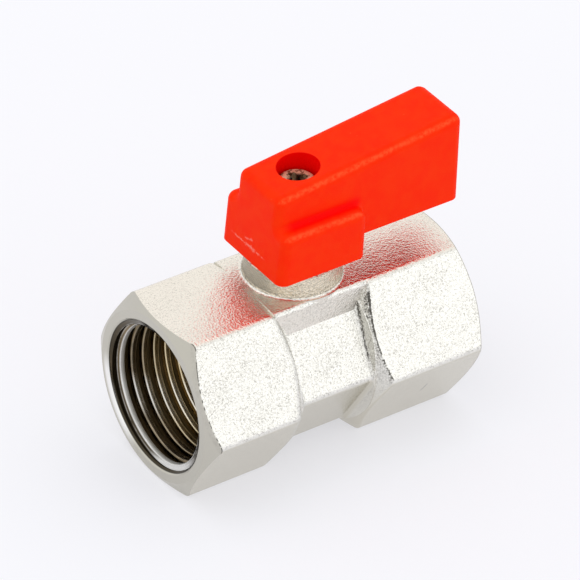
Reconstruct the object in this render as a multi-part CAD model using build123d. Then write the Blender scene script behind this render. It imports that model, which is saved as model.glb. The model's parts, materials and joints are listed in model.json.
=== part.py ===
from build123d import *
import os
from math import cos, radians, sin, sqrt, tan

# Mini ball valve, half-inch, with a one-piece hexagon body and a plastic lever.
# Sizes are in millimetres. While a piece is made, x runs along the bore from the stem's axis
# and z runs up from the bore's axis; place() then sets the valve on its lower flats.

# Body, outside
hex_across_flats = 25.0
hex_edge_radius = 1.2
inlet_reach = 21.74
outlet_reach = 22.99
end_chamfer_angle = 30.0
end_chamfer_depth = 0.23
waist_across_flats = 21.0
waist_inlet_reach = 6.48
waist_outlet_reach = 5.93
waist_wall_run = 0.5
shoulder_chamfer_drop = 0.3
shoulder_foot_radius = 0.7
inlet_shoulder_radius = 1.6
outlet_shoulder_radius = 0.4
pedestal_tuck = 1.2
pedestal_edge_radius = 0.7
boss_radius = 6.6
boss_height = 3.57
boss_foot_radius = 0.6
boss_rim_chamfer = 0.4

# Body, inside
thread_major_radius = 10.4775
thread_depth = 11.0
mouth_radius = 10.95
mouth_chamfer_depth = 0.45
port_radius = 5.0
seat_web = 1.5
cavity_clearance = 0.3

# Ball and seats
ball_radius = 8.0
seat_outer_radius = 7.45
seat_thickness = 4.5
seat_overlap = 1.3
seat_clearance = 0.05
pocket_clearance = 0.05
retainer_radius = 9.0
retainer_clearance = 0.03
retainer_slot_width = 2.4
retainer_slot_depth = 1.0

# Stem and its seals
stem_radius = 3.7
stem_clearance = 0.05
tang_thickness = 3.9
tang_length = 8.0
tang_clearance = 0.05
tang_depth = 1.9
slot_floor_gap = 0.2
collar_radius = 4.8
collar_thickness = 1.4
collar_clearance = 0.1
collar_ball_gap = 0.3
washer_thickness = 0.5
groove_depth = 1.2
groove_width = 1.9
groove_land = 0.5
ring_clearance = 0.03
ring_end_gap = 0.1
ring_corner = 0.4
square_size = 5.5
square_height = 6.0

# Handle
handle_lift = 0.3
hub_size = 13.9
wing_height = 7.5
bar_width = 9.56
bar_underside_height = 2.03
bar_reach = 23.6
near_top_height = 12.08
near_face_lean = 0.68
far_top_height = 15.61
far_face_lean = 0.33
handle_edge_radius = 1.35
handle_edge_share = 0.625
end_edge_radius = 1.3
end_edge_share = 0.97
wing_corner_radius = 1.8
wing_root_radius = 0.75
wing_root_share = 0.35
square_clearance = 0.05
socket_headroom = 0.4
screw_web = 2.2
recess_radius = 2.9
core_wall = 2.55
core_roof = 2.4
core_rib = 1.6

# Stop between body and handle
stop_inner_radius = 4.8
stop_outer_radius = 6.0
stop_height = 1.2
stop_start_angle = 110.0
stop_sweep = 50.0
stop_clearance = 0.15
stop_slack_angle = 1.5
quarter_turn = 90.0

# Handle screw
screw_radius = 2.0
screw_length = 7.6
screw_head_radius = 2.65
screw_head_height = 2.3
screw_hole_radius = 2.2
screw_edge_radius = 0.7
tapped_hole_extra = 0.6
cross_width = 0.95
cross_span = 3.0
cross_depth = 1.4

# How near an edge lies to a plane to count as lying in it, and how far a cut runs past a face
touch = 0.001
cut_margin = 1.0

# Heights above the bore's axis that several pieces share
body_top = hex_across_flats / 2
boss_top = body_top + boss_height
handle_base = boss_top + handle_lift
collar_base = ball_radius + collar_ball_gap
collar_top = collar_base + collar_thickness
washer_top = collar_top + washer_thickness
tang_end = ball_radius - tang_depth
square_top = handle_base + square_height
socket_top = square_top + socket_headroom
screw_seat = socket_top + screw_web

# Places along the bore that several pieces share
cavity_radius = ball_radius + cavity_clearance
seat_face = sqrt((ball_radius + seat_clearance) ** 2 - (port_radius + seat_overlap) ** 2)
seat_back = seat_face + seat_thickness
pocket_radius = seat_outer_radius + pocket_clearance
retainer_end = seat_back + seat_web
stem_bore_radius = stem_radius + stem_clearance


def place(shape):
    """Set a piece on the lower flats, with the valve's footprint centred on the origin."""
    return Pos((inlet_reach - bar_reach) / 2, 0, body_top) * shape


def along_bore(radius, start, end):
    """A cylinder on the bore's axis between two places along it."""
    return Pos((start + end) / 2, 0, 0) * Cylinder(radius, end - start, rotation=(0, 90, 0))


def upright(radius, low, high):
    """A cylinder on the stem's axis between two heights."""
    return Pos(0, 0, (low + high) / 2) * Cylinder(radius, high - low)


def turned(points, axis):
    """A solid of revolution from an outline in the x-z plane."""
    return revolve(Plane.XZ * make_face(Polyline(*points, close=True)), axis)


def edges_within(shape, test):
    """The edges of a shape whose ends and middle all pass a test."""
    return [e for e in shape.edges() if all(test(e @ share) for share in (0, 0.5, 1))]


def edges_at(shape, x):
    """The edges of a shape that lie in a plane across the bore."""
    return edges_within(shape, lambda p: abs(p.X - x) < touch)


def hexagon(across_flats, x):
    """A hexagon across the bore, flats up and down, with its corners rounded."""
    outline = RegularPolygon(across_flats / 2, 6, major_radius=False)
    return Plane.YZ.offset(x) * fillet(outline.vertices(), hex_edge_radius)


def off_axis(p):
    """How far a point lies from the bore's axis, square to the hexagon's nearest flat."""
    return max(p.Y * sin(radians(60 * i)) + p.Z * cos(radians(60 * i)) for i in range(6))


def body_outside():
    """Two hexagon ends, the slimmer waist between them, and the boss on its pedestal."""
    inlet_foot = -(waist_inlet_reach - waist_wall_run)
    outlet_foot = waist_outlet_reach - waist_wall_run
    forging = loft(
        [
            hexagon(hex_across_flats, -inlet_reach),
            hexagon(hex_across_flats, -waist_inlet_reach),
            hexagon(waist_across_flats, inlet_foot),
            hexagon(waist_across_flats, outlet_foot),
            hexagon(hex_across_flats, waist_outlet_reach),
            hexagon(hex_across_flats, outlet_reach),
        ],
        ruled=True,
    )
    feet = edges_at(forging, inlet_foot) + edges_at(forging, outlet_foot)
    forging = fillet(feet, shoulder_foot_radius)
    # Cones turn the corners off, at both ends and at both shoulders.
    flat = hex_across_flats / 2
    corner = flat / cos(radians(30)) + cut_margin
    slope = tan(radians(end_chamfer_angle))
    end_radius = flat - end_chamfer_depth / slope
    end_run = (corner - end_radius) * slope
    neck = flat - shoulder_chamfer_drop
    neck_run = (corner - neck) * slope
    envelope = turned(
        [
            (-inlet_reach, 0),
            (-inlet_reach, end_radius),
            (end_run - inlet_reach, corner),
            (-waist_inlet_reach - neck_run, corner),
            (-waist_inlet_reach, neck),
            (waist_outlet_reach, neck),
            (waist_outlet_reach + neck_run, corner),
            (outlet_reach - end_run, corner),
            (outlet_reach, end_radius),
            (outlet_reach, 0),
        ],
        Axis.X,
    )
    forging = forging & envelope
    # The shoulders' arrises are rounded, more softly at the inlet.
    rim = flat - hex_edge_radius * (1 - cos(radians(30)))
    for side, reach, radius in (
        (-1, waist_inlet_reach, inlet_shoulder_radius),
        (1, waist_outlet_reach, outlet_shoulder_radius),
    ):
        arris = edges_within(
            forging,
            lambda p: touch < side * p.X - reach < neck_run and off_axis(p) > rim - touch,
        )
        forging = fillet(arris, radius)
    pedestal_width = hex_across_flats * tan(radians(30))
    pedestal_length = waist_inlet_reach + waist_outlet_reach + 2 * pedestal_tuck
    pedestal = Box(pedestal_length, pedestal_width, body_top)
    pedestal = Pos((waist_outlet_reach - waist_inlet_reach) / 2, 0, body_top / 2) * pedestal
    top_edges = pedestal.edges().filter_by(Axis.X).group_by(Axis.Z)[-1]
    pedestal = fillet(top_edges, pedestal_edge_radius)
    foot = boss_radius + boss_foot_radius
    boss_outline = [
        Line((0, body_top - pedestal_edge_radius), (foot, body_top - pedestal_edge_radius)),
        Line((foot, body_top - pedestal_edge_radius), (foot, body_top)),
        RadiusArc((foot, body_top), (boss_radius, body_top + boss_foot_radius), boss_foot_radius),
        Line((boss_radius, body_top + boss_foot_radius), (boss_radius, boss_top - boss_rim_chamfer)),
        Line((boss_radius, boss_top - boss_rim_chamfer), (boss_radius - boss_rim_chamfer, boss_top)),
        Line((boss_radius - boss_rim_chamfer, boss_top), (0, boss_top)),
        Line((0, boss_top), (0, body_top - pedestal_edge_radius)),
    ]
    boss = revolve(Plane.XZ * make_face(boss_outline), Axis.Z)
    boss = boss & Box(2 * foot, pedestal_width, 4 * boss_top)
    return forging + pedestal + boss


def sector(inner, outer, low, high, start, sweep):
    """A piece of a flat ring round the stem's axis."""
    ring = upright(outer, low, high) - upright(inner, low, high)
    reach = 2 * outer
    corners = [(0, 0)]
    steps = 4
    for i in range(steps + 1):
        angle = radians(start + sweep * i / steps)
        corners.append((reach * cos(angle), reach * sin(angle)))
    wedge = extrude(Plane.XY.offset(low) * make_face(Polyline(*corners, close=True)), high - low)
    return ring & wedge


def valve_body():
    """The body with its two threaded mouths, seat pocket, ball cavity and stem bore."""
    body = body_outside()
    body += sector(
        stop_inner_radius,
        stop_outer_radius,
        boss_top - boss_rim_chamfer,
        boss_top + stop_height,
        stop_start_angle,
        stop_sweep,
    )
    for side, reach in ((-1, inlet_reach), (1, outlet_reach)):
        mouth = turned(
            [
                (side * (reach - thread_depth), 0),
                (side * (reach - thread_depth), thread_major_radius),
                (side * (reach - mouth_chamfer_depth), thread_major_radius),
                (side * reach, mouth_radius),
                (side * (reach + cut_margin), mouth_radius),
                (side * (reach + cut_margin), 0),
            ],
            Axis.X,
        )
        body -= mouth
    body -= along_bore(port_radius, -inlet_reach, 0)
    body -= along_bore(pocket_radius, -seat_back, 0)
    body -= along_bore(cavity_radius, -seat_face, seat_face)
    body -= along_bore(retainer_radius, seat_face, outlet_reach - thread_depth)
    body -= upright(stem_bore_radius, 0, boss_top + cut_margin)
    body -= upright(collar_radius + collar_clearance, 0, washer_top)
    return body


def seat(side):
    """A seat ring, hollowed to the ball on its inner side."""
    hollow = ball_radius + seat_clearance
    port_edge = sqrt(hollow**2 - port_radius**2)
    outline = [
        Polyline(
            (seat_face, port_radius + seat_overlap),
            (seat_face, seat_outer_radius),
            (seat_back, seat_outer_radius),
            (seat_back, port_radius),
            (port_edge, port_radius),
        ),
        RadiusArc((port_edge, port_radius), (seat_face, port_radius + seat_overlap), -hollow),
    ]
    ring = revolve(Plane.XZ * make_face(outline), Axis.X)
    return ring if side > 0 else Rot(0, 0, 180) * ring


def seat_retainer():
    """The ring behind the outlet seat, with two slots for its key."""
    ring = along_bore(retainer_radius - retainer_clearance, seat_face, retainer_end)
    ring -= along_bore(pocket_radius, 0, seat_back)
    ring -= along_bore(port_radius, 0, retainer_end + cut_margin)
    slot = Box(2 * retainer_slot_depth, 2 * retainer_radius, retainer_slot_width)
    return ring - Pos(retainer_end, 0, 0) * slot


def ball():
    """The ball with its straight port and the slot that the stem's tang turns."""
    sphere = Sphere(ball_radius) - along_bore(port_radius, -ball_radius, ball_radius)
    slot_floor = tang_end - slot_floor_gap
    slot = Box(tang_thickness + 2 * tang_clearance, 2 * ball_radius, ball_radius - slot_floor)
    return sphere - Pos(0, 0, (ball_radius + slot_floor) / 2) * slot


def groove_floor(level):
    """Height of a seal groove's lower side: level 0 is the lower groove, 1 the upper."""
    return washer_top + groove_land + level * (groove_width + groove_land)


def stem():
    """The stem: tang, collar, grooved shaft and the square that drives it."""
    shaft = upright(stem_radius, collar_base, square_top)
    shaft += upright(collar_radius, collar_base, collar_top)
    tang = Box(tang_thickness, tang_length, collar_base - tang_end)
    shaft += Pos(0, 0, (collar_base + tang_end) / 2) * tang
    groove_radius = stem_radius - groove_depth
    for level in (0, 1):
        low = groove_floor(level)
        high = low + groove_width
        shaft -= upright(stem_radius + cut_margin, low, high) - upright(groove_radius, low, high)
    drive = Box(square_size, square_size, square_height)
    around = upright(2 * stem_radius, handle_base, square_top)
    shaft -= around - Pos(0, 0, (handle_base + square_top) / 2) * drive
    return shaft - upright(screw_radius, screw_seat - screw_length - tapped_hole_extra, square_top)


def stem_thrust_washer():
    """The flat ring between the collar and the body."""
    return upright(collar_radius, collar_top, washer_top) - upright(stem_bore_radius, collar_top, washer_top)


def stem_o_ring(level):
    """A seal ring as it sits squeezed in its groove."""
    inner = stem_radius - groove_depth + ring_clearance
    outer = stem_bore_radius - ring_clearance
    height = groove_width - 2 * ring_end_gap
    section = chamfer(Rectangle(outer - inner, height).vertices(), ring_corner)
    middle = groove_floor(level) + groove_width / 2
    return revolve(Plane.XZ * Pos((inner + outer) / 2, middle) * section, Axis.Z)


def handle():
    """The lever: a rising bar on a square hub, hollow under the bar."""
    half_hub = hub_size / 2
    wing_top = handle_base + wing_height
    near_top = handle_base + near_top_height
    far_top = handle_base + far_top_height
    underside = handle_base + bar_underside_height

    def near_face(height):
        """The leaning near face's x at a height."""
        return near_face_lean * (height - handle_base) / near_top_height - half_hub

    def far_face(height):
        """The leaning far face's x at a height."""
        return bar_reach - far_face_lean * (height - underside) / (far_top - underside)

    bar_outline = Polyline(
        (near_face(underside), underside),
        (near_face(near_top), near_top),
        (far_face(far_top), far_top),
        (bar_reach, underside),
        close=True,
    )
    hub_outline = Polyline(
        (near_face(handle_base), handle_base),
        (near_face(wing_top), wing_top),
        (half_hub, wing_top),
        (half_hub, handle_base),
        close=True,
    )
    bar = extrude(Plane.XZ * make_face(bar_outline), bar_width / 2, both=True)
    hub = extrude(Plane.XZ * make_face(hub_outline), hub_size / 2, both=True)
    far_top_edge = edges_within(hub, lambda p: abs(p.X - half_hub) + abs(p.Z - wing_top) < touch)
    lever = bar + fillet(far_top_edge, wing_corner_radius)

    # Round the wings' roots first, then the long edges, then the edges of the two end faces.
    # A narrow wing limits the radii.
    half_bar = bar_width / 2
    wing_width = half_hub - half_bar
    root_radius = min(wing_root_radius, wing_root_share * wing_width)
    edge_radius = min(handle_edge_radius, handle_edge_share * wing_width)
    end_radius = min(end_edge_radius, end_edge_share * edge_radius)
    roots = edges_within(
        lever,
        lambda p: abs(abs(p.Y) - half_bar) < touch and p.X < half_hub + touch and p.Z < wing_top + touch,
    )
    lever = fillet([e for e in roots if (e @ 0.5).Z > underside + touch], root_radius)
    outer = edges_within(lever, lambda p: abs(abs(p.Y) - half_hub) < touch and p.X > touch - half_hub)
    outer = [e for e in outer if (e @ 0.5).Z > handle_base + touch]
    ridges = edges_within(lever, lambda p: abs(abs(p.Y) - half_bar) < touch and p.Z > near_top - touch)
    ridges = [e for e in ridges if e.length > hub_size]
    lever = fillet(outer + ridges, edge_radius)
    far = edges_within(lever, lambda p: abs(p.X - far_face(p.Z)) < touch)
    lever = fillet([e for e in far if (e @ 0.5).Z > underside + touch], end_radius)
    near = edges_within(lever, lambda p: abs(p.X - near_face(p.Z)) < touch)
    lever = fillet([e for e in near if (e @ 0.5).Z > handle_base + touch], end_radius)

    # Square socket, screw hole and recess
    socket = square_size + 2 * square_clearance
    socket_height = socket_top - handle_base
    lever -= Pos(0, 0, handle_base + socket_height / 2) * Box(socket, socket, socket_height)
    lever -= upright(screw_hole_radius, handle_base, screw_seat)
    lever -= upright(recess_radius, screw_seat, far_top)

    # Groove for the body's stop, long enough for a quarter turn
    lever -= sector(
        stop_inner_radius - stop_clearance,
        stop_outer_radius + stop_clearance,
        handle_base,
        boss_top + stop_height + stop_clearance,
        stop_start_angle - stop_slack_angle,
        stop_sweep + quarter_turn + 2 * stop_slack_angle,
    )

    # Two cores under the bar, with a rib between them
    def roof(x):
        """The cores' roof follows the bar's top."""
        rise = (far_top - near_top) / (far_face(far_top) - near_face(near_top))
        return near_top + rise * (x - near_face(near_top)) - core_roof

    start = half_hub + core_wall
    length = (far_face(far_top) - core_wall - start - core_rib) / 2
    for low in (start, start + length + core_rib):
        outline = Polyline(
            (low, underside),
            (low, roof(low)),
            (low + length, roof(low + length)),
            (low + length, underside),
            close=True,
        )
        lever -= extrude(Plane.XZ * make_face(outline), half_bar - core_wall, both=True)
    return lever


def handle_screw():
    """The pan-head screw with its cross recess."""
    head_top = screw_seat + screw_head_height
    head = upright(screw_head_radius, screw_seat, head_top)
    head = fillet(head.edges().filter_by(GeomType.CIRCLE).group_by(Axis.Z)[-1], screw_edge_radius)
    screw = head + upright(screw_radius, screw_seat - screw_length, screw_seat)
    for size in ((cross_span, cross_width), (cross_width, cross_span)):
        screw -= Pos(0, 0, head_top) * Box(*size, 2 * cross_depth)
    return screw


pieces = {
    "valve_body": valve_body(),
    "seat_retainer": seat_retainer(),
    "ball": ball(),
    "inlet_seat": seat(-1),
    "outlet_seat": seat(1),
    "stem": stem(),
    "stem_thrust_washer": stem_thrust_washer(),
    "lower_stem_o_ring": stem_o_ring(0),
    "upper_stem_o_ring": stem_o_ring(1),
    "handle": handle(),
    "handle_screw": handle_screw(),
}

os.makedirs("parts", exist_ok=True)
for name, shape in pieces.items():
    export_step(place(shape), f"parts/{name}.step")
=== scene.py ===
import json
import math

import bpy
from bpy.props import FloatProperty, FloatVectorProperty, IntProperty, PointerProperty
from mathutils import Matrix, Vector


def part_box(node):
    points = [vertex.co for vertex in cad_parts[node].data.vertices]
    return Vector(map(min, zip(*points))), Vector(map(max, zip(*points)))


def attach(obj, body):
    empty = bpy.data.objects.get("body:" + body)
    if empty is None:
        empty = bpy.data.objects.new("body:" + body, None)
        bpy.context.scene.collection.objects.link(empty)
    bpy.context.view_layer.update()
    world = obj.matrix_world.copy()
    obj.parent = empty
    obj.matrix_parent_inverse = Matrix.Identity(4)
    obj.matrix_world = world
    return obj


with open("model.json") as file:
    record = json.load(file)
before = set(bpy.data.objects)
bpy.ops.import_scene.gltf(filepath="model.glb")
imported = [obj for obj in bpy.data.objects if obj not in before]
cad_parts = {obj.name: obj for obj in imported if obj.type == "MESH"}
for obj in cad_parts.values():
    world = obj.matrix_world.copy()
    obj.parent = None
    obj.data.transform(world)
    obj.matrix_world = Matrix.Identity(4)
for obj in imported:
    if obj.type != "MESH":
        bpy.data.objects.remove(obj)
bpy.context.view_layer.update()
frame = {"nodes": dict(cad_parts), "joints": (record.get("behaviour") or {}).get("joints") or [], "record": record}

bl_info = {
    "name": "Mini ball valve finish",
    "version": (1, 0, 0),
    "blender": (4, 5, 0),
    "location": "View3D > Sidebar > Valve",
    "description": "Threads, finishes and studio for a half-inch mini ball valve",
    "category": "Object",
}

MM = 0.001

# Places that the finishes share, read from the frame, in millimetres
BODY_LOW, BODY_HIGH = (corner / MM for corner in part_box("valve_body"))
LEVER_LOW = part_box("handle")[0] / MM
HANDLE_TURN = next(joint for joint in frame["joints"] if joint["name"] == "handle_turn")
STEM_X = HANDLE_TURN["pos_m"][0] / MM
INLET = next(mount for mount in frame["record"]["mounts"] if mount["name"] == "inlet_thread")
BORE_Z = INLET["pos_m"][2] / MM
THREAD_RADIUS = INLET["dims"]["r_mm"]
THREAD_LENGTH = INLET["dims"]["length_mm"]
LEAD_IN = abs(INLET["pos_m"][0] / MM - BODY_LOW.x)

# Places on the solids that the finishes follow, in millimetres. Heights on the body count from the bore's
# middle, and depths from the nearer end.
HAIRLINE = THREAD_RADIUS + 0.22  # line on the mouth's chamfer where the thread's first turn starts
MOUTH_RADIUS = 11.2
MOUTH_FLOOR = 14.4
CHAMFER_RADIUS = 12.1  # where the chamfers of the hexagon ends start
CHAMFER_SLOPE = math.tan(math.radians(30))
FLAT_TURN = math.radians(60)  # from one flat of the hexagon to the next
SADDLE_FOOT = 6.0
SADDLE_TOP = 12.4
BOSS_FOOT = 12.6
BOSS_RADIUS = 7.2
SHOULDER_X = STEM_X + 5.93  # arris of the outlet's shoulder
SHOULDER_RADIUS = 12.2
WING_TOP = LEVER_LOW.z + 7.5
BAR_SIDE = 4.78  # half the width of the lever's raised bar
RECESS_RADIUS = 2.9  # well of the lever's screw

# Sockets of the Mix node in its colour mode
MIX_FIRST, MIX_SECOND, MIX_RESULT = 6, 7, 2


# Node helpers

class Graph:
    """A node tree that is built with short calls. Each call returns the new node's output socket."""

    def __init__(self, tree):
        self.tree = tree
        tree.nodes.clear()

    def node(self, kind, settings=None, **inputs):
        """Add a node, set its properties, and set or link its inputs by name."""
        made = self.tree.nodes.new(kind)
        for key, value in (settings or {}).items():
            setattr(made, key, value)
        for key, value in inputs.items():
            self.feed(made, key.replace("_", " "), value)
        return made

    def feed(self, node, name, value):
        """Link or set one of a node's inputs by its name."""
        self.plug(next(s for s in node.inputs if s.name == name and s.enabled), value)

    def plug(self, socket, value):
        """Link a socket to an input, or set the input to a constant."""
        if isinstance(value, bpy.types.NodeSocket):
            self.tree.links.new(value, socket)
        else:
            socket.default_value = value

    def calc(self, operation, *terms):
        """One math node, with sockets or numbers as its terms."""
        made = self.tree.nodes.new("ShaderNodeMath")
        made.operation = operation
        for socket, term in zip(made.inputs, terms):
            self.plug(socket, term)
        return made.outputs[0]

    def total(self, *terms):
        """The sum of several terms."""
        result = terms[0]
        for term in terms[1:]:
            result = self.calc("ADD", result, term)
        return result

    def product(self, *terms):
        """The product of several terms."""
        result = terms[0]
        for term in terms[1:]:
            result = self.calc("MULTIPLY", result, term)
        return result

    def rise(self, value, low, high):
        """A soft step from 0 at low to 1 at high; low may be the larger one."""
        made = self.node("ShaderNodeMapRange", {"interpolation_type": "SMOOTHSTEP"}, Value=value)
        made.inputs["From Min"].default_value = min(low, high)
        made.inputs["From Max"].default_value = max(low, high)
        made.inputs["To Min"].default_value = 0.0 if low < high else 1.0
        made.inputs["To Max"].default_value = 1.0 if low < high else 0.0
        return made.outputs["Result"]

    def band(self, value, middle, half_width, soft):
        """1 within a half width of the middle, falling to 0 over a soft margin."""
        off = self.calc("ABSOLUTE", self.calc("SUBTRACT", value, middle))
        return self.rise(off, half_width + soft, half_width)

    def tint(self, share, first, second):
        """A colour between two colours."""
        made = self.node("ShaderNodeMix", {"data_type": "RGBA"})
        self.tree.links.new(share, made.inputs[0])
        for number, value in ((MIX_FIRST, first), (MIX_SECOND, second)):
            is_socket = isinstance(value, bpy.types.NodeSocket)
            self.plug(made.inputs[number], value if is_socket else (*value, 1.0))
        return made.outputs[MIX_RESULT]

    def noise(self, vector, scale, detail=2.0, roughness=0.5, swirl=0.0):
        """Soft noise round one half."""
        made = self.node("ShaderNodeTexNoise", Vector=vector, Scale=scale, Detail=detail, Roughness=roughness)
        made.inputs["Distortion"].default_value = swirl
        return made.outputs["Fac"]

    def tool_rings(self, radius, depth, per_mm):
        """Fine rings that a turning tool leaves round an axis."""
        return self.noise(self.joined(self.product(radius, per_mm), self.product(depth, per_mm), 0.0), 1.0)

    def pits(self, vector, scale):
        """Small dents with crisp ridges between them, packed side by side."""
        return self.node("ShaderNodeTexVoronoi", Vector=vector, Scale=scale).outputs["Distance"]

    def vector_calc(self, operation, first, second):
        """One vector math node with two terms."""
        made = self.node("ShaderNodeVectorMath", {"operation": operation})
        for socket, term in zip(made.inputs, (first, second)):
            self.plug(socket, term)
        return made.outputs["Value" if operation in ("DOT_PRODUCT", "DISTANCE") else "Vector"]

    def stroke(self, place, start, end, half_width, soft):
        """1 along a straight stroke between two points, with round ends."""
        run = Vector(end) - Vector(start)
        offset = self.vector_calc("SUBTRACT", place, start)
        share = self.vector_calc("DOT_PRODUCT", offset, run / run.length_squared)
        share = self.calc("MINIMUM", self.calc("MAXIMUM", share, 0.0), 1.0)
        nearest = self.joined(*(self.total(self.product(share, run[i]), start[i]) for i in range(3)))
        return self.rise(self.vector_calc("DISTANCE", place, nearest), half_width + soft, half_width)

    def largest(self, *terms):
        """The largest of several terms."""
        result = terms[0]
        for term in terms[1:]:
            result = self.calc("MAXIMUM", result, term)
        return result

    def hypotenuse(self, first, second):
        """The length of two legs at a right angle."""
        return self.calc("SQRT", self.total(self.product(first, first), self.product(second, second)))

    def millimetres(self):
        """Object coordinates in millimetres, whole and as x, y and z."""
        place = self.node("ShaderNodeTexCoord").outputs["Object"]
        made = self.node("ShaderNodeVectorMath", {"operation": "SCALE"})
        self.tree.links.new(place, made.inputs[0])
        made.inputs["Scale"].default_value = 1 / MM
        parts = self.node("ShaderNodeSeparateXYZ", Vector=made.outputs[0])
        return (made.outputs[0], *parts.outputs)

    def facing(self):
        """The surface's own direction as x, y and z."""
        normal = self.node("ShaderNodeTexCoord").outputs["Normal"]
        return self.node("ShaderNodeSeparateXYZ", Vector=normal).outputs

    def joined(self, x, y, z):
        """A vector from three numbers or sockets."""
        made = self.node("ShaderNodeCombineXYZ")
        for socket, value in zip(made.inputs, (x, y, z)):
            self.plug(socket, value)
        return made.outputs[0]

    def bump(self, height, depth_mm):
        """A relief whose heights from 0 to 1 span a depth."""
        made = self.node("ShaderNodeBump", Strength=1.0, Distance=depth_mm * MM, Height=height)
        return made.outputs["Normal"]

    def seen_directly(self):
        """1 for rays from the camera and for those that glossy and clear surfaces send on."""
        path = self.node("ShaderNodeLightPath").outputs
        return self.largest(path["Is Camera Ray"], path["Is Glossy Ray"], path["Is Transmission Ray"])

    def surface(self, **inputs):
        """The shader that ends the tree."""
        shader = self.node("ShaderNodeBsdfPrincipled", **inputs)
        end = self.node("ShaderNodeOutputMaterial")
        self.tree.links.new(shader.outputs[0], end.inputs["Surface"])


def new_material(name):
    """An empty procedural material and its graph."""
    material = bpy.data.materials.new(name)
    material.use_nodes = True
    return material, Graph(material.node_tree)


def dress(node, material):
    """Give a solid of the frame its finish."""
    slots = frame["nodes"][node].data.materials
    slots.clear()
    slots.append(material)


# Settings

class ThreadSettings(bpy.types.PropertyGroup):
    """The pipe thread in both mouths."""

    pitch: FloatProperty(name="Pitch", description="Distance between turns, mm", default=1.814)
    ridge_height: FloatProperty(name="Ridge height", description="From wall to crest, mm", default=0.93)
    root_width: FloatProperty(name="Root width", description="Ridge's width at the wall, mm", default=1.66)
    crest_width: FloatProperty(name="Crest width", description="Ridge's width at its crest, mm", default=0.62)
    crest_radius: FloatProperty(name="Crest radius", description="Rounding of the crest, mm", default=0.30)
    crest_tilt: FloatProperty(
        name="Crest tilt", description="How far the crest falls towards the mouth, mm", default=0.12
    )
    cone_slope: FloatProperty(
        name="Lead-in slope", description="How fast the lead-in cone narrows with depth", default=2.1
    )
    start_angle: FloatProperty(
        name="Start", description="Where the thread starts round the mouth", default=math.radians(17),
        subtype="ANGLE",
    )
    cone_start: FloatProperty(
        name="Lead-in start", description="Depth where the lead-in cone meets the wall, mm", default=0.346
    )
    points_per_turn: IntProperty(name="Points per turn", description="Steps along one turn", default=128)


class ForgingSettings(bpy.types.PropertyGroup):
    """The plated body."""

    plate: FloatVectorProperty(
        name="Plate", description="Nickel plate", default=(0.86, 0.85, 0.80), subtype="COLOR", min=0, max=1
    )
    # Painted reflection: the plate on the sides that face up is painted a warmer tone
    painted_top_reflection: FloatVectorProperty(
        name="Upper plate", description="Plate on the sides that face up", default=(0.89, 0.835, 0.745),
        subtype="COLOR", min=0, max=1,
    )
    # Painted shade: the plate on the sides that face down is painted darker
    painted_shade: FloatVectorProperty(
        name="Lower plate", description="Plate on the sides that face down", default=(0.645, 0.615, 0.53),
        subtype="COLOR", min=0, max=1,
    )
    # Grey of the blasted pits, also used for the painted shade on the boss
    speck_and_boss_shade: FloatVectorProperty(
        name="Speck", description="Grey of the blasted pits", default=(0.30, 0.285, 0.25), subtype="COLOR",
        min=0, max=1,
    )
    machined: FloatVectorProperty(
        name="Turned faces", description="Plate on the turned ends", default=(0.555, 0.535, 0.47),
        subtype="COLOR", min=0, max=1,
    )
    boss: FloatVectorProperty(
        name="Boss", description="Duller plate round the boss", default=(0.86, 0.77, 0.62), subtype="COLOR",
        min=0, max=1,
    )
    # Painted highlight on the inlet's rim and on the thread's first turn, crests and flanks
    painted_highlight: FloatVectorProperty(
        name="Highlight", description="Painted bright rims", default=(0.93, 0.925, 0.90), subtype="COLOR",
        min=0, max=1,
    )
    # Dark lines, scratches and stain, and also painted shade in the cross of the screw's head
    soot_and_shade: FloatVectorProperty(
        name="Soot", description="Dark residue in lines and scratches", default=(0.035, 0.03, 0.022),
        subtype="COLOR", min=0, max=1,
    )
    stain: FloatVectorProperty(
        name="Thread stain", description="Dark film in the thread", default=(0.16, 0.125, 0.075),
        subtype="COLOR", min=0, max=1,
    )
    film_brown: FloatVectorProperty(
        name="Brown film", description="Lighter patches of the film", default=(0.25, 0.185, 0.105),
        subtype="COLOR", min=0, max=1,
    )
    film_gold: FloatVectorProperty(
        name="Golden film", description="Film deep in the mouth", default=(0.74, 0.61, 0.37), subtype="COLOR",
        min=0, max=1,
    )
    grain: FloatProperty(name="Grain", description="Blasted dents per mm", default=3.0)
    grain_depth: FloatProperty(name="Grain depth", description="Depth of the blasted dents, mm", default=0.07)
    roughness: FloatProperty(name="Roughness", description="Of the blasted plate", default=0.15)


class LeverSettings(bpy.types.PropertyGroup):
    """The plastic lever."""

    plastic: FloatVectorProperty(
        name="Plastic", description="Moulded red", default=(0.98, 0.031, 0.001), subtype="COLOR", min=0, max=1
    )
    # Used for faint clouds, and as painted shade in the wings' roots and the screw's recess
    deep: FloatVectorProperty(
        name="Deep red", description="Red in the hollows", default=(0.98, 0.001, 0.0), subtype="COLOR",
        min=0, max=1,
    )
    # Painted highlight along the lever's ridges; the same paler red also paints random dots
    pale_sheen: FloatVectorProperty(
        name="Glinting edge", description="Paler red along the ridges", default=(0.97, 0.11, 0.03),
        subtype="COLOR", min=0, max=1,
    )
    scuff: FloatVectorProperty(
        name="Scuff", description="Whitened scratches", default=(0.95, 0.28, 0.22), subtype="COLOR",
        min=0, max=1,
    )


class ScrewSettings(bpy.types.PropertyGroup):
    """The lever's screw."""

    brown: FloatVectorProperty(
        name="Brown", description="Darker plating", default=(0.20, 0.12, 0.06), subtype="COLOR", min=0, max=1
    )
    tan: FloatVectorProperty(
        name="Tan", description="Lighter plating", default=(0.50, 0.37, 0.23), subtype="COLOR", min=0, max=1
    )
    # Painted glints on the lands round the cross
    land_glint: FloatVectorProperty(
        name="Lands", description="Glinting lands round the cross", default=(0.76, 0.62, 0.42), subtype="COLOR",
        min=0, max=1,
    )


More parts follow.
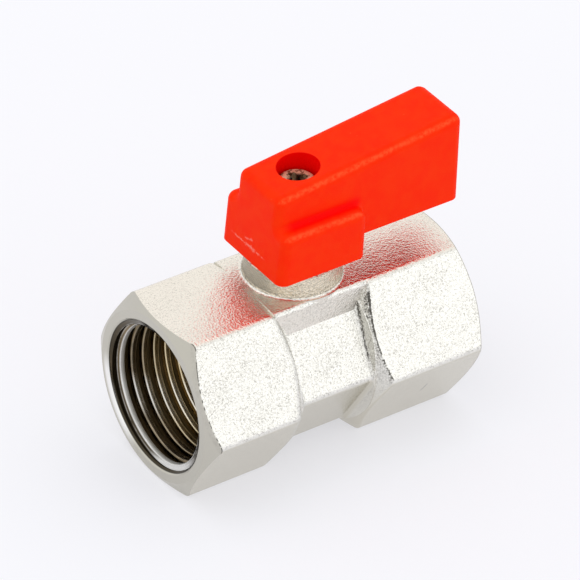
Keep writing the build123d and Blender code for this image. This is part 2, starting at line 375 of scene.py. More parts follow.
class InnerSettings(bpy.types.PropertyGroup):
    """The ball, seats, stem and seals, each with a darker and a lighter tone."""

    brass_dark: FloatVectorProperty(
        name="Dark brass", description="Bare turned brass", default=(0.70, 0.50, 0.22), subtype="COLOR",
        min=0, max=1,
    )
    brass_light: FloatVectorProperty(
        name="Light brass", description="Bare turned brass", default=(0.82, 0.64, 0.34), subtype="COLOR",
        min=0, max=1,
    )
    chrome_dark: FloatVectorProperty(
        name="Dark chrome", description="Plate of the ball", default=(0.78, 0.79, 0.81), subtype="COLOR",
        min=0, max=1,
    )
    chrome_light: FloatVectorProperty(
        name="Light chrome", description="Plate of the ball", default=(0.86, 0.87, 0.88), subtype="COLOR",
        min=0, max=1,
    )
    seat_dark: FloatVectorProperty(
        name="Dark seat", description="White seat plastic", default=(0.80, 0.80, 0.77), subtype="COLOR",
        min=0, max=1,
    )
    seat_light: FloatVectorProperty(
        name="Light seat", description="White seat plastic", default=(0.92, 0.92, 0.90), subtype="COLOR",
        min=0, max=1,
    )
    rubber_dark: FloatVectorProperty(
        name="Dark rubber", description="Black seal rubber", default=(0.012, 0.012, 0.012), subtype="COLOR",
        min=0, max=1,
    )
    rubber_light: FloatVectorProperty(
        name="Light rubber", description="Bloom on the rubber", default=(0.035, 0.034, 0.033),
        subtype="COLOR", min=0, max=1,
    )


class StudioSettings(bpy.types.PropertyGroup):
    """Camera, floor and light."""

    turn: FloatProperty(
        name="Turn", description="Camera's turn round the valve", default=math.radians(37.03), subtype="ANGLE"
    )
    tilt: FloatProperty(
        name="Tilt", description="Camera's height angle", default=math.radians(36.42), subtype="ANGLE"
    )
    roll: FloatProperty(name="Roll", description="Camera's roll", default=math.radians(3.34), subtype="ANGLE")
    aim: FloatVectorProperty(
        name="Aim", description="Point in the middle of the picture, mm", default=(1.882, 3.920, 18.093)
    )
    distance: FloatProperty(
        name="Distance", description="Camera to aim", default=0.6691, unit="LENGTH", precision=4
    )
    lens: FloatProperty(name="Lens", description="Focal length, mm", default=310.3)
    floor: FloatVectorProperty(
        name="Floor", description="Pale floor", default=(0.945, 0.945, 0.985), subtype="COLOR", min=0, max=1
    )
    floor_glow: FloatProperty(
        name="Floor glow", description="Share of the floor that shows its plain colour", default=0.55
    )
    sky: FloatProperty(name="Sky", description="Level of the light from all round", default=0.95)
    front_box: FloatProperty(
        name="Front box", description="Power of the front softbox", default=0.35, unit="POWER"
    )
    top_box: FloatProperty(name="Top box", description="Power of the top softbox", default=0.7, unit="POWER")


class ValveSettings(bpy.types.PropertyGroup):
    """All settings of the valve's finish."""

    thread: PointerProperty(type=ThreadSettings)
    forging: PointerProperty(type=ForgingSettings)
    lever: PointerProperty(type=LeverSettings)
    screw: PointerProperty(type=ScrewSettings)
    inner: PointerProperty(type=InnerSettings)
    studio: PointerProperty(type=StudioSettings)


# Finishes

def body_places(graph):
    """Where a point of the body lies: along the ends, round the bore and off the chamfer cone."""
    place, x, y, z = graph.millimetres()
    up = graph.calc("SUBTRACT", z, BORE_Z)
    radius = graph.hypotenuse(y, up)
    from_inlet, from_outlet = graph.calc("SUBTRACT", x, BODY_LOW.x), graph.calc("SUBTRACT", BODY_HIGH.x, x)
    depth = graph.calc("MINIMUM", from_inlet, from_outlet)
    spread = graph.calc("MAXIMUM", graph.calc("SUBTRACT", radius, CHAMFER_RADIUS), 0.0)
    off_cone = graph.calc("SUBTRACT", depth, graph.product(spread, CHAMFER_SLOPE))
    return place, x, y, up, radius, depth, off_cone


def plated_forging(settings):
    """Nickel plate over a blasted forging, with turned ends and a dark film in the thread."""
    material, graph = new_material("nickel_plated_forging")
    place, x, y, up, radius, depth, off_cone = body_places(graph)
    along, across, upward = graph.facing()
    stem_radius = graph.hypotenuse(graph.calc("SUBTRACT", x, STEM_X), y)

    before_floor = graph.rise(depth, MOUTH_FLOOR + 0.2, MOUTH_FLOOR)
    in_mouth = graph.product(graph.rise(radius, MOUTH_RADIUS + 0.1, MOUTH_RADIUS), before_floor)
    turned_end = graph.rise(off_cone, 0.11, 0.03)
    turned = graph.largest(in_mouth, turned_end)
    blasted = graph.calc("SUBTRACT", 1.0, turned)
    thread_wall = graph.product(graph.rise(radius, HAIRLINE, HAIRLINE - 0.05), before_floor)
    boss = graph.product(
        graph.rise(up, BOSS_FOOT, BOSS_FOOT + 0.3),
        graph.rise(stem_radius, BOSS_RADIUS + 0.2, BOSS_RADIUS),
    )
    saddle = graph.product(
        graph.rise(graph.calc("ABSOLUTE", across), 0.93, 0.98),
        graph.rise(up, SADDLE_FOOT, SADDLE_FOOT + 2.0),
        graph.rise(up, SADDLE_TOP, SADDLE_TOP - 0.2),
    )
    open_side = graph.rise(upward, -0.3, 0.2)
    top_side = graph.rise(upward, 0.7, 0.95)

    # Blasted grain and a slow waviness, softer on the lower sides, against fine rings on the turned ends
    grain = graph.noise(place, settings.grain * 1.5, detail=3.0, roughness=0.65)
    dents = graph.pits(place, settings.grain)
    waves = graph.noise(place, 0.35, detail=2.0, roughness=0.5)
    relief = graph.total(graph.product(grain, 0.7), graph.product(dents, 0.55), graph.product(waves, 0.8))
    strength = graph.total(0.45, graph.product(open_side, 0.55), graph.product(boss, 1.7))
    relief = graph.product(relief, strength)
    rings = graph.tool_rings(radius, depth, per_mm=5.0)
    height = graph.total(graph.product(relief, blasted), graph.product(rings, turned, 0.03))
    normal = graph.bump(height, settings.grain_depth)

    # Grey specks on the upper sides, denser in drifts and on the outlet shoulder's wall
    wall = graph.product(graph.rise(along, -0.25, -0.5), graph.rise(x, 3.0, 3.5), blasted)
    drift = graph.total(
        graph.product(graph.noise(place, 0.25, detail=2.0), 0.12),
        graph.product(wall, 0.07),
        graph.product(boss, 0.06),
    )
    fleck = graph.total(graph.noise(place, 4.6, detail=2.0, roughness=0.65, swirl=1.2), drift)
    specks = graph.product(graph.rise(fleck, 0.57, 0.69), blasted, open_side)
    # Painted shade on the sides that face down
    colour = graph.tint(graph.rise(upward, 0.1, -0.4), settings.plate, settings.painted_shade)
    # Painted reflection: a warmer tone on the sides that face up
    colour = graph.tint(top_side, colour, settings.painted_top_reflection)

    # The boss is duller, with painted shade on its side away from the front. The saddle's sides get streaks of the
    # painted shade and half the painted reflection of the upper sides.
    colour = graph.tint(boss, colour, settings.boss)
    boss_shade = graph.product(boss, graph.rise(across, -0.75, -0.3), graph.rise(upward, 0.4, 0.2))
    colour = graph.tint(graph.product(boss_shade, 0.7), colour, settings.speck_and_boss_shade)
    streak_place = graph.joined(graph.product(x, 0.25), 0.0, graph.product(up, 3.0))
    streaks = graph.noise(streak_place, 1.0, detail=3.0, roughness=0.6)
    colour = graph.tint(graph.product(saddle, graph.rise(streaks, 0.35, 0.75), 0.5), colour, settings.painted_shade)
    colour = graph.tint(graph.product(saddle, 0.5), colour, settings.painted_top_reflection)
    speck_share = graph.calc("SUBTRACT", 0.65, graph.product(top_side, 0.3))
    colour = graph.tint(graph.product(specks, speck_share), colour, settings.speck_and_boss_shade)
    colour = graph.tint(turned, colour, settings.machined)

    # A painted highlight lies low on the inlet rim's outer side, and a dark line parts the rim from the thread.
    rim = graph.product(
        graph.rise(radius, 12.0, 11.2),
        graph.rise(depth, 0.6, 0.4),
        graph.rise(y, 3.0, 7.0),
        graph.rise(up, 1.0, -3.0),
    )
    colour = graph.tint(rim, colour, settings.painted_highlight)
    colour = graph.tint(thread_wall, colour, settings.stain)
    colour = graph.tint(graph.product(thread_wall, graph.rise(depth, 1.5, 0.9), 0.75), colour, settings.soot_and_shade)
    colour = graph.tint(graph.product(mouth_line(graph, radius, depth), 0.9), colour, settings.soot_and_shade)
    colour = graph.tint(body_marks(graph, place, x, y, up, radius, off_cone), colour, settings.soot_and_shade)
    rough = graph.total(
        graph.product(blasted, settings.roughness),
        graph.product(turned, 0.26),
        graph.product(graph.noise(place, 1.1), 0.08),
    )
    graph.surface(Base_Color=colour, Metallic=1.0, Roughness=rough, Normal=normal)
    return material


def mouth_line(graph, radius, depth):
    """The thin dark line that parts the mouth's rim from the thread."""
    line = graph.band(radius, HAIRLINE, half_width=0.03, soft=0.05)
    return graph.product(line, graph.rise(depth, 0.6, 0.45))


def body_marks(graph, place, x, y, up, radius, off_cone):
    """Dark lines along the outlet's shoulder, dashes by the inlet's chamfer and two scratches."""
    ragged = graph.noise(place, 3.6, detail=3.0, roughness=0.7)
    broken = graph.noise(place, 0.9, detail=2.0, roughness=0.6)
    dotted = graph.noise(place, 4.5, detail=2.0, roughness=0.6)

    # How far a point lies out from the bore across the front upper flat, and how high up that flat
    slant = graph.total(graph.product(y, -math.sin(FLAT_TURN)), graph.product(up, math.cos(FLAT_TURN)))
    climb = graph.total(graph.product(y, math.cos(FLAT_TURN)), graph.product(up, math.sin(FLAT_TURN)))
    cone = graph.product(graph.calc("SUBTRACT", radius, SHOULDER_RADIUS), CHAMFER_SLOPE)
    off_arris = graph.calc("SUBTRACT", graph.calc("SUBTRACT", x, SHOULDER_X), cone)
    shift = graph.product(graph.calc("SUBTRACT", ragged, 0.5), 0.5)
    thick = graph.total(0.04, graph.product(graph.rise(climb, -2.0, 5.0), 0.05))
    off_line = graph.calc("ABSOLUTE", graph.total(off_arris, -0.14, shift))
    arris = graph.product(
        graph.rise(graph.calc("SUBTRACT", off_line, thick), 0.09, 0.0),
        graph.rise(dotted, 0.28, 0.38),
        graph.rise(graph.total(broken, graph.product(climb, 0.02)), 0.32, 0.42),
        graph.rise(slant, 11.7, 11.95),
        graph.band(climb, -0.6, half_width=6.2, soft=0.5),
    )
    foot = graph.product(
        graph.band(graph.total(x, shift, graph.product(climb, -0.03)), 4.5, half_width=0.03, soft=0.09),
        graph.rise(dotted, 0.36, 0.46),
        graph.product(graph.rise(slant, 9.9, 10.3), graph.rise(slant, 11.6, 11.2)),
        graph.band(climb, 0.8, half_width=3.6, soft=0.8),
    )
    dashes = graph.product(
        graph.band(off_cone, 0.1, half_width=0.05, soft=0.06),
        graph.rise(graph.noise(place, 1.3, detail=3.0, roughness=0.7), 0.44, 0.51),
        graph.rise(slant, 11.7, 12.0),
        graph.rise(x, 0.0, -1.0),
    )
    scratch = graph.stroke(place, (14.22, -11.45, 7.33), (13.96, -10.60, 5.86), half_width=0.05, soft=0.12)
    faint = graph.stroke(place, (15.75, -10.95, 18.55), (16.1, -10.75, 18.9), half_width=0.04, soft=0.14)
    return graph.largest(
        graph.product(arris, 0.92),
        graph.product(foot, 0.9),
        graph.product(dashes, 0.85),
        graph.product(scratch, 0.5),
        graph.product(faint, 0.35),
    )


def thread_film(settings, thread):
    """The dark glossy film on the cut thread, with painted highlights on its first turn, its crests and its
    flanks.
    """
    material, graph = new_material("stained_cut_thread")
    place, _, y, up, radius, depth, _ = body_places(graph)
    crest_edge = THREAD_RADIUS - thread.ridge_height + thread.crest_tilt
    first_crest_depth, flank_radius = 2.2, 10.08
    crest = graph.rise(radius, crest_edge + 0.16, crest_edge + 0.04)
    cone = graph.total(radius, graph.product(depth, thread.cone_slope))
    cone_level = THREAD_RADIUS + thread.cone_start * thread.cone_slope
    first_turn = graph.largest(
        graph.product(graph.rise(cone, cone_level + 0.35, cone_level + 0.12), graph.rise(up, -3.5, -7.5)),
        graph.product(crest, graph.rise(depth, first_crest_depth + 0.3, first_crest_depth)),
    )
    mottle = graph.noise(place, 0.45, detail=3.0, roughness=0.6)
    film = graph.tint(graph.rise(mottle, 0.35, 0.7), settings.stain, settings.film_brown)
    film = graph.tint(graph.product(graph.rise(depth, 3.5, 9.0), 0.9), film, settings.film_gold)
    film = graph.tint(graph.product(graph.rise(depth, 1.5, 0.9), 0.75), film, settings.soot_and_shade)

    # Painted highlights: the crests are painted brighter, faintly in patches and most along a line that climbs
    # with the turns, and a thin bright line is painted on each flank.
    glint_line = graph.total(up, graph.product(depth, 0.36))
    glint = graph.product(graph.band(glint_line, -4.4, half_width=0.7, soft=2.2), graph.rise(y, 0.0, 2.0))
    crest_highlight = graph.product(crest, graph.total(0.02, graph.product(glint, 0.6), graph.product(mottle, 0.12)))
    flank = graph.band(radius, flank_radius, half_width=0.03, soft=0.06)
    flank_highlight = graph.product(flank, graph.rise(mottle, 0.4, 0.6), 0.25)
    colour = graph.tint(graph.largest(crest_highlight, flank_highlight), film, settings.painted_highlight)
    # Painted highlight on the first turn
    colour = graph.tint(graph.product(first_turn, 0.7), colour, settings.painted_highlight)
    colour = graph.tint(graph.product(mouth_line(graph, radius, depth), 0.9), colour, settings.soot_and_shade)
    tool = graph.tool_rings(radius, depth, per_mm=3.0)
    rough = graph.total(0.11, graph.product(crest, 0.14), graph.product(first_turn, 0.12))
    metal = graph.calc("SUBTRACT", 1.0, graph.product(first_turn, 0.4))
    graph.surface(Base_Color=colour, Metallic=metal, Roughness=rough, Normal=graph.bump(tool, 0.01))
    return material


def red_plastic(settings):
    """Satin moulded plastic, with painted shade in its hollows, a painted highlight along its ridges and a ragged
    scratch.
    """
    material, graph = new_material("satin_red_plastic")
    place, x, y, z = graph.millimetres()
    _, across, upward = graph.facing()
    sideways = graph.calc("ABSOLUTE", y)
    stem_radius = graph.hypotenuse(graph.calc("SUBTRACT", x, STEM_X), y)

    # Painted shade: the wings' roots and the screw's recess are painted deep red.
    from_root = graph.hypotenuse(
        graph.calc("SUBTRACT", sideways, BAR_SIDE + 0.35), graph.calc("SUBTRACT", z, WING_TOP + 0.3)
    )
    root = graph.product(
        graph.rise(from_root, 1.25, 0.2),
        graph.rise(x, LEVER_LOW.x + 14.4, LEVER_LOW.x + 13.2),
        graph.rise(x, LEVER_LOW.x + 0.9, LEVER_LOW.x + 3.2),
    )
    recess = graph.product(
        graph.rise(stem_radius, RECESS_RADIUS + 0.07, RECESS_RADIUS), graph.rise(z, WING_TOP, WING_TOP + 0.5)
    )
    hollow = graph.largest(root, recess)

    # The long ridges and the wings' outer edges face between upward and sideways; a painted highlight in paler red
    # lies along them.
    between = graph.calc("MINIMUM", upward, graph.calc("ABSOLUTE", across))
    convex = graph.largest(
        graph.rise(z, WING_TOP + 1.2, WING_TOP + 2.0), graph.rise(sideways, BAR_SIDE + 0.9, BAR_SIDE + 1.3)
    )
    fleck = graph.noise(place, 1.8, detail=3.0, roughness=0.65)
    pale_sheen = graph.product(graph.rise(between, 0.35, 0.68), convex, graph.rise(fleck, 0.25, 0.7), 0.75)
    dots = graph.product(graph.rise(graph.noise(place, 1.9, detail=1.0), 0.77, 0.82), 0.35)

    # One ragged scratch runs across the near face, with a rubbed patch and a short branch at its middle.
    near = graph.rise(x, LEVER_LOW.x + 1.2, LEVER_LOW.x + 0.8)
    ragged = graph.noise(place, 1.6, detail=4.0, roughness=0.7)
    grain = graph.noise(place, 5.0, detail=3.0, roughness=0.6)
    wander = graph.product(graph.calc("SUBTRACT", ragged, 0.5), 0.9)
    level = graph.calc("SUBTRACT", graph.calc("SUBTRACT", z, LEVER_LOW.z + 2.2), wander)
    line = graph.product(
        graph.band(level, 0.0, half_width=0.04, soft=0.14),
        graph.band(y, 0.9, half_width=2.6, soft=1.6),
        graph.rise(fleck, 0.35, 0.6),
    )
    patch = graph.product(
        graph.band(level, 0.0, half_width=0.14, soft=0.22),
        graph.band(y, 0.35, half_width=0.8, soft=0.6),
        graph.rise(grain, 0.35, 0.6),
    )
    branch = graph.product(
        graph.band(graph.total(level, graph.product(y, 0.26)), 1.26, half_width=0.06, soft=0.16),
        graph.band(y, 0.8, half_width=0.7, soft=0.3),
        graph.rise(fleck, 0.3, 0.5),
    )
    scratch = graph.product(graph.largest(line, patch, graph.product(branch, 0.7)), near)

    # Faint clouds and a fine grain keep the red from looking flat.
    broad = graph.noise(place, 0.5, detail=3.0, roughness=0.6)
    cloud = graph.total(graph.product(broad, 0.7), graph.product(grain, 0.3))
    colour = graph.tint(graph.product(graph.rise(cloud, 0.36, 0.64), 0.3), settings.plastic, settings.deep)
    colour = graph.tint(graph.largest(pale_sheen, dots), colour, settings.pale_sheen)
    # Painted shade in the hollows
    colour = graph.tint(hollow, colour, settings.deep)
    colour = graph.tint(graph.product(scratch, 0.7), colour, settings.scuff)
    texture = graph.total(grain, graph.product(graph.noise(place, 0.5), 1.2))
    normal = graph.bump(texture, 0.03)
    rough = graph.total(0.42, graph.product(graph.noise(place, 0.8), 0.12))
    graph.surface(Base_Color=colour, Roughness=rough, Normal=normal, Specular_IOR_Level=0.04)
    return material


def plated_steel(settings, soot_and_shade):
    """Browned plating on the screw, with painted shade in the cross and painted glints on the lands round it."""
    material, graph = new_material("yellowed_plated_steel")
    place, x, y, _ = graph.millimetres()
    stem_radius = graph.hypotenuse(graph.calc("SUBTRACT", x, STEM_X), y)
    cloud = graph.noise(place, 1.6, detail=3.0, roughness=0.6)
    colour = graph.tint(graph.rise(cloud, 0.4, 0.65), settings.brown, settings.tan)
    # Painted glints on the lands round the cross
    lands = graph.band(stem_radius, 1.85, half_width=0.4, soft=0.25)
    land_glint = graph.product(lands, graph.rise(cloud, 0.42, 0.52))
    colour = graph.tint(graph.product(land_glint, 0.85), colour, settings.land_glint)
    # Painted shade: the cross in the middle of the head is painted dark
    colour = graph.tint(graph.rise(stem_radius, 1.15, 0.9), colour, soot_and_shade)
    normal = graph.bump(graph.noise(place, 3.0, detail=2.0), 0.03)
    graph.surface(Base_Color=colour, Metallic=0.55, Roughness=0.36, Normal=normal)
    return material


def turned_brass(settings):
    """Bare turned brass with fine tool rings round the stem's axis."""
    material, graph = new_material("turned_brass")
    place, x, y, z = graph.millimetres()
    radius = graph.hypotenuse(graph.calc("SUBTRACT", x, STEM_X), y)
    rings = graph.tool_rings(radius, z, per_mm=6.0)
    colour = graph.tint(graph.noise(place, 0.6, detail=3.0), settings.brass_dark, settings.brass_light)
    normal = graph.bump(rings, 0.008)
    graph.surface(Base_Color=colour, Metallic=1.0, Roughness=0.28, Normal=normal)
    return material


def chrome_ball(settings):
    """Polished chrome with faint wiping marks."""
    material, graph = new_material("polished_chrome")
    _, x, y, z = graph.millimetres()
    wipe_place = graph.joined(graph.product(x, 0.3), y, graph.product(z, 4.0))
    wipe = graph.noise(wipe_place, 1.0, detail=4.0, roughness=0.6)
    rough = graph.total(0.05, graph.product(wipe, 0.08))
    colour = graph.tint(wipe, settings.chrome_dark, settings.chrome_light)
    graph.surface(Base_Color=colour, Metallic=1.0, Roughness=rough, Normal=graph.bump(wipe, 0.002))
    return material


def seat_plastic(settings):
    """Waxy white seat plastic."""
    material, graph = new_material("waxy_white_plastic")
    cloud = graph.noise(graph.millimetres()[0], 0.7, detail=3.0)
    colour = graph.tint(cloud, settings.seat_dark, settings.seat_light)
    graph.surface(Base_Color=colour, Roughness=0.4, Normal=graph.bump(cloud, 0.02))
    return material


def seal_rubber(settings):
    """Black moulded rubber."""
    material, graph = new_material("black_seal_rubber")
    bloom = graph.noise(graph.millimetres()[0], 1.4, detail=3.0)
    colour = graph.tint(bloom, settings.rubber_dark, settings.rubber_light)
    graph.surface(Base_Color=colour, Roughness=0.55, Normal=graph.bump(bloom, 0.02))
    return material


# Thread ridges

def group_input(tree, kind, name):
    """Add a named input to a node group, and give its identifier."""
    return tree.interface.new_socket(name=name, in_out="INPUT", socket_type=kind).identifier


def thread_tree():
    """A right-handed ridge that winds down a mouth, cut at its start by the lead-in cone."""
    sunk, weld = 0.12 * MM, 0.002 * MM
    corner_steps, profile_points = 4, 44
    lip_share = 0.3
    tree = bpy.data.node_groups.new("thread_ridge", "GeometryNodeTree")
    graph = Graph(tree)
    tree.interface.new_socket(name="Geometry", in_out="OUTPUT", socket_type="NodeSocketGeometry")
    floats = (
        "Wall Radius", "Pitch", "Turns", "Ridge Height", "Root Width", "Crest Width", "Crest Radius",
        "Crest Tilt", "Start Depth", "Cone Start", "Cone Slope", "Start Angle", "Run Out",
    )
    names = {name: group_input(tree, "NodeSocketFloat", name) for name in floats}
    names["Points"] = group_input(tree, "NodeSocketInt", "Points")
    names["Turned To"] = group_input(tree, "NodeSocketRotation", "Turned To")
    names["Mouth"] = group_input(tree, "NodeSocketVector", "Mouth")
    names["Finish"] = group_input(tree, "NodeSocketMaterial", "Finish")
    given = graph.node("NodeGroupInput").outputs

    spiral = graph.node(
        "GeometryNodeCurveSpiral",
        Resolution=given["Points"],
        Rotations=given["Turns"],
        Start_Radius=given["Wall Radius"],
        End_Radius=given["Wall Radius"],
        Height=graph.product(given["Turns"], given["Pitch"]),
        Reverse=True,
    )
    upright = graph.node("GeometryNodeSetCurveNormal", {"mode": "Z_UP"}, Curve=spiral.outputs[0])

    # The section's lower side is sunk in the wall, and its crest falls towards the mouth.
    profile = graph.node("GeometryNodeCurvePrimitiveQuadrilateral", {"mode": "POINTS"})
    tall = graph.calc("ADD", given["Ridge Height"], sunk)
    crest, root = graph.product(given["Crest Width"], 0.5), graph.product(given["Root Width"], 0.5)
    high, low = graph.product(tall, 0.5), graph.product(tall, -0.5)
    near_high = graph.calc("SUBTRACT", high, given["Crest Tilt"])
    graph.feed(profile, "Point 1", graph.joined(crest, near_high, 0.0))
    graph.feed(profile, "Point 2", graph.joined(graph.product(crest, -1.0), high, 0.0))
    graph.feed(profile, "Point 3", graph.joined(graph.product(root, -1.0), low, 0.0))
    graph.feed(profile, "Point 4", graph.joined(root, low, 0.0))
    rounded = graph.node("GeometryNodeFilletCurve", {"mode": "POLY"}, Curve=profile.outputs[0])
    graph.feed(rounded, "Radius", given["Crest Radius"])
    graph.feed(rounded, "Count", corner_steps)
    even = graph.node("GeometryNodeResampleCurve", Curve=rounded.outputs[0], Count=profile_points)
    seated = graph.node("GeometryNodeTransform", Geometry=even.outputs[0], Rotation=(0, 0, math.pi / 2))
    inward = graph.calc("SUBTRACT", sunk, graph.product(tall, 0.5))
    graph.feed(seated, "Translation", graph.joined(inward, 0.0, 0.0))

    # The ridge shrinks to nothing over its run-out.
    left = graph.calc("SUBTRACT", 1.0, graph.node("GeometryNodeSplineParameter").outputs["Factor"])
    share = graph.calc("DIVIDE", graph.product(left, given["Turns"]), given["Run Out"])
    ridge = graph.node(
        "GeometryNodeCurveToMesh",
        Curve=upright.outputs[0],
        Profile_Curve=seated.outputs[0],
        Scale=graph.calc("MINIMUM", share, 1.0),
        Fill_Caps=True,
    )
    turned = graph.node("GeometryNodeTransform", Geometry=ridge.outputs[0])
    graph.feed(turned, "Rotation", graph.joined(0.0, 0.0, given["Start Angle"]))
    graph.feed(turned, "Translation", graph.joined(0.0, 0.0, given["Start Depth"]))

    # The cone pushes the ridge back to the wall near the mouth, and nothing stands out of the end face.
    parts = graph.node("ShaderNodeSeparateXYZ", Vector=graph.node("GeometryNodeInputPosition").outputs[0])
    x, y, depth = parts.outputs
    radius = graph.hypotenuse(x, y)
    inside = graph.calc("MAXIMUM", depth, graph.product(given["Cone Start"], lip_share))
    past = graph.calc("SUBTRACT", inside, given["Cone Start"])
    cone = graph.calc("SUBTRACT", given["Wall Radius"], graph.product(past, given["Cone Slope"]))
    stretch = graph.calc("DIVIDE", graph.calc("MAXIMUM", radius, cone), radius)
    cut = graph.node("GeometryNodeSetPosition", Geometry=turned.outputs[0])
    graph.feed(cut, "Position", graph.joined(graph.product(x, stretch), graph.product(y, stretch), inside))
    merged = graph.node("GeometryNodeMergeByDistance", Geometry=cut.outputs[0], Distance=weld)

    smooth = graph.node("GeometryNodeSetShadeSmooth", Geometry=merged.outputs[0])
    placed = graph.node(
        "GeometryNodeTransform",
        Geometry=smooth.outputs[0],
        Rotation=given["Turned To"],
        Translation=given["Mouth"],
    )
    whole = graph.node("GeometryNodeRealizeInstances", Geometry=placed.outputs[0])
    finished = graph.node("GeometryNodeSetMaterial", Geometry=whole.outputs[0], Material=given["Finish"])
    end = graph.node("NodeGroupOutput")
    tree.links.new(finished.outputs[0], end.inputs[0])
    return tree, names


def plain_mesh_object(name, tree, values):
    """Run a node tree once and keep its result as a plain mesh."""
    seed = bpy.data.objects.new(name + "_seed", bpy.data.meshes.new(name + "_seed"))
    bpy.context.scene.collection.objects.link(seed)
    modifier = seed.modifiers.new("ridge", "NODES")
    modifier.node_group = tree
    for identifier, value in values.items():
        modifier[identifier] = value
    graph = bpy.context.evaluated_depsgraph_get()
    mesh = bpy.data.meshes.new_from_object(seed.evaluated_get(graph), depsgraph=graph)
    if not mesh.polygons:
        raise RuntimeError(f"{name} came out empty")
    mesh.name = name
    seed.modifiers.clear()
    bpy.data.objects.remove(seed)
    piece = bpy.data.objects.new(name, mesh)
    bpy.context.scene.collection.objects.link(piece)
    return piece


# Operators

class VALVE_OT_body(bpy.types.Operator):
    """Plate the forged body"""

    bl_idname = "valve.body"
    bl_label = "Body finish"

    def execute(self, context):
        dress("valve_body", plated_forging(context.scene.valve.forging))
        return {"FINISHED"}


class VALVE_OT_threads(bpy.types.Operator):
    """Wind the pipe thread into both mouths"""

    bl_idname = "valve.threads"
    bl_label = "Mouth threads"

    def execute(self, context):
        thread = context.scene.valve.thread
        finish = thread_film(context.scene.valve.forging, thread)
        tree, names = thread_tree()
        run_out_turns = 0.5
        start_depth = -0.3 * thread.pitch
        end_depth = LEAD_IN + THREAD_LENGTH + run_out_turns * thread.pitch
        common = {
            "Wall Radius": THREAD_RADIUS * MM,
            "Pitch": thread.pitch * MM,
            "Turns": (end_depth - start_depth) / thread.pitch,
            "Ridge Height": thread.ridge_height * MM,
            "Root Width": thread.root_width * MM,
            "Crest Width": thread.crest_width * MM,
            "Crest Radius": thread.crest_radius * MM,
            "Crest Tilt": thread.crest_tilt * MM,
            "Start Depth": start_depth * MM,
            "Cone Start": thread.cone_start * MM,
            "Cone Slope": thread.cone_slope,
            "Start Angle": thread.start_angle,
            "Run Out": run_out_turns,
            "Points": thread.points_per_turn,
            "Finish": finish,
        }
        for side, end, turn in (("inlet", BODY_LOW.x, math.pi / 2), ("outlet", BODY_HIGH.x, -math.pi / 2)):
            values = {names[key]: value for key, value in common.items()}
            values[names["Turned To"]] = (0.0, turn, 0.0)
            values[names["Mouth"]] = (end * MM, 0.0, BORE_Z * MM)
            ridge = plain_mesh_object(f"{side}_thread_ridge", tree, values)
            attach(ridge, "casing")
        return {"FINISHED"}


class VALVE_OT_lever(bpy.types.Operator):
    """Finish the plastic lever"""

    bl_idname = "valve.lever"
    bl_label = "Lever finish"

    def execute(self, context):
        dress("handle", red_plastic(context.scene.valve.lever))
        return {"FINISHED"}


class VALVE_OT_screw(bpy.types.Operator):
    """Finish the lever's screw"""

    bl_idname = "valve.screw"
    bl_label = "Screw finish"

    def execute(self, context):
        dress("handle_screw", plated_steel(context.scene.valve.screw, context.scene.valve.forging.soot_and_shade))
        return {"FINISHED"}


class VALVE_OT_inside(bpy.types.Operator):
    """Finish the ball, seats, stem and seals"""

    bl_idname = "valve.inside"
    bl_label = "Inner pieces"

    def execute(self, context):
        inner = context.scene.valve.inner
        dress("ball", chrome_ball(inner))
        brass = turned_brass(inner)
        for node in ("stem", "seat_retainer"):
            dress(node, brass)
        white = seat_plastic(inner)
        for node in ("inlet_seat", "outlet_seat", "stem_thrust_washer"):
            dress(node, white)
        rubber = seal_rubber(inner)
        for node in ("lower_stem_o_ring", "upper_stem_o_ring"):
            dress(node, rubber)
        return {"FINISHED"}


class VALVE_OT_stage(bpy.types.Operator):
    """Set the floor, the light and the camera"""

    bl_idname = "valve.stage"
    bl_label = "Studio"

    def execute(self, context):
        studio = context.scene.valve.studio
        make_floor(studio)
        make_sky(context.scene, studio)
        front_place, front_size = (0.42, -0.62, 0.26), 0.55
        top_place, top_size = (-0.15, 0.1, 0.8), 0.7
        soft_box("front_softbox", studio.front_box, front_place, front_size)
        soft_box("top_softbox", studio.top_box, top_place, top_size)
        make_camera(context.scene, studio)
        context.scene.view_settings.view_transform = "Standard"
        return {"FINISHED"}


def make_floor(studio):
    """A wide pale floor in the plane of the lower flats."""
    half = 3.0
    mesh = bpy.data.meshes.new("floor")
    corners = [(-half, -half, 0), (half, -half, 0), (half, half, 0), (-half, half, 0)]
    mesh.from_pydata(corners, [], [(0, 1, 2, 3)])
    floor = bpy.data.objects.new("floor", mesh)
    bpy.context.scene.collection.objects.link(floor)
    material, graph = new_material("pale_floor")
    cloud = graph.noise(graph.millimetres()[0], 0.01, detail=1.0)
    colour = graph.tint(cloud, [0.99 * c for c in studio.floor], studio.floor)
    matt = graph.node("ShaderNodeBsdfDiffuse", Color=colour)
    glow = graph.node("ShaderNodeEmission", Color=colour, Strength=1.0)
    both = graph.node("ShaderNodeMixShader")
    graph.tree.links.new(graph.product(graph.seen_directly(), studio.floor_glow), both.inputs[0])
    graph.tree.links.new(matt.outputs[0], both.inputs[1])
    graph.tree.links.new(glow.outputs[0], both.inputs[2])
    end = graph.node("ShaderNodeOutputMaterial")
    graph.tree.links.new(both.outputs[0], end.inputs["Surface"])
    mesh.materials.append(material)


def make_sky(scene, studio):
    """Light from all round, shown as white to the camera and to glossy surfaces."""
    world = bpy.data.worlds.new("studio_sky")
    world.use_nodes = True
    scene.world = world
    graph = Graph(world.node_tree)
    level = graph.total(studio.sky, graph.product(graph.seen_directly(), 1.0 - studio.sky))
    light = graph.node("ShaderNodeBackground", Color=(1.0, 1.0, 1.0, 1.0), Strength=level)
    end = graph.node("ShaderNodeOutputWorld")
    world.node_tree.links.new(light.outputs[0], end.inputs["Surface"])


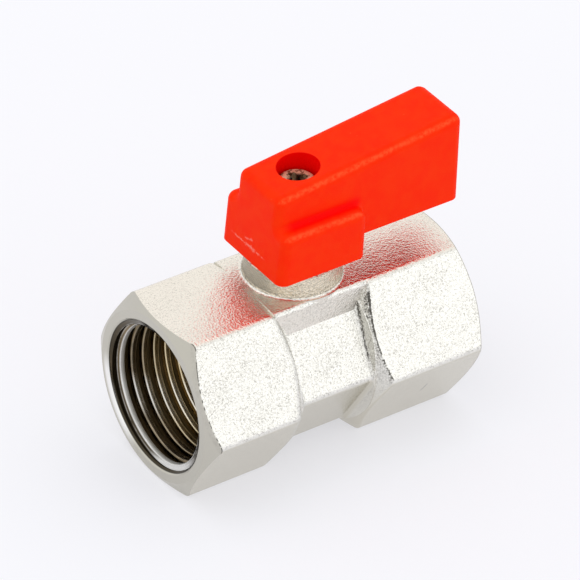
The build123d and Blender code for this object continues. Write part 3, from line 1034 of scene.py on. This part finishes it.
def soft_box(name, power, place, size):
    """A square softbox that faces the valve."""
    data = bpy.data.lights.new(name, "AREA")
    data.energy = power
    data.size = size
    lamp = bpy.data.objects.new(name, data)
    bpy.context.scene.collection.objects.link(lamp)
    lamp.location = place
    target = Vector((0.0, 0.0, BORE_Z * MM))
    lamp.rotation_euler = (target - Vector(place)).to_track_quat("-Z", "Y").to_euler()


def make_camera(scene, studio):
    """A long lens from the photo's side, rolled a little."""
    forward = Vector((
        math.sin(studio.turn) * math.cos(studio.tilt),
        math.cos(studio.turn) * math.cos(studio.tilt),
        -math.sin(studio.tilt),
    ))
    level_right = forward.cross(Vector((0, 0, 1))).normalized()
    level_up = level_right.cross(forward)
    right = level_right * math.cos(studio.roll) + level_up * math.sin(studio.roll)
    up = level_up * math.cos(studio.roll) - level_right * math.sin(studio.roll)
    data = bpy.data.cameras.new("camera")
    data.sensor_width = 36.0
    data.lens = studio.lens
    data.clip_start, data.clip_end = 0.01, 20.0
    camera = bpy.data.objects.new("camera", data)
    scene.collection.objects.link(camera)
    place = Vector(studio.aim) * MM - forward * studio.distance
    camera.matrix_world = Matrix.Translation(place) @ Matrix((right, up, -forward)).transposed().to_4x4()
    scene.camera = camera


class VALVE_PT_panel(bpy.types.Panel):
    """Sizes, colours and steps of the valve's finish"""

    bl_idname = "VALVE_PT_panel"
    bl_label = "Mini ball valve"
    bl_space_type = "VIEW_3D"
    bl_region_type = "UI"
    bl_category = "Valve"

    def draw(self, context):
        settings = context.scene.valve
        pieces = (settings.thread, settings.forging, settings.lever, settings.screw, settings.inner)
        for group in (*pieces, settings.studio):
            box = self.layout.box()
            box.label(text=group.bl_rna.description)
            for key in group.__annotations__:
                box.prop(group, key)
        for step in STEPS:
            self.layout.operator(step.bl_idname)


STEPS = (VALVE_OT_body, VALVE_OT_threads, VALVE_OT_lever, VALVE_OT_screw, VALVE_OT_inside, VALVE_OT_stage)
CLASSES = (
    ThreadSettings, ForgingSettings, LeverSettings, ScrewSettings, InnerSettings, StudioSettings,
    ValveSettings, *STEPS, VALVE_PT_panel,
)


def register():
    """Add the settings, the steps and the panel."""
    for cls in CLASSES:
        bpy.utils.register_class(cls)
    bpy.types.Scene.valve = PointerProperty(type=ValveSettings)


def unregister():
    """Take the settings, the steps and the panel away."""
    del bpy.types.Scene.valve
    for cls in reversed(CLASSES):
        bpy.utils.unregister_class(cls)


def main():
    """Finish every piece and set the stage."""
    register()
    bpy.ops.valve.body()
    bpy.ops.valve.threads()
    bpy.ops.valve.lever()
    bpy.ops.valve.screw()
    bpy.ops.valve.inside()
    bpy.ops.valve.stage()


if __name__ == "__main__":
    main()
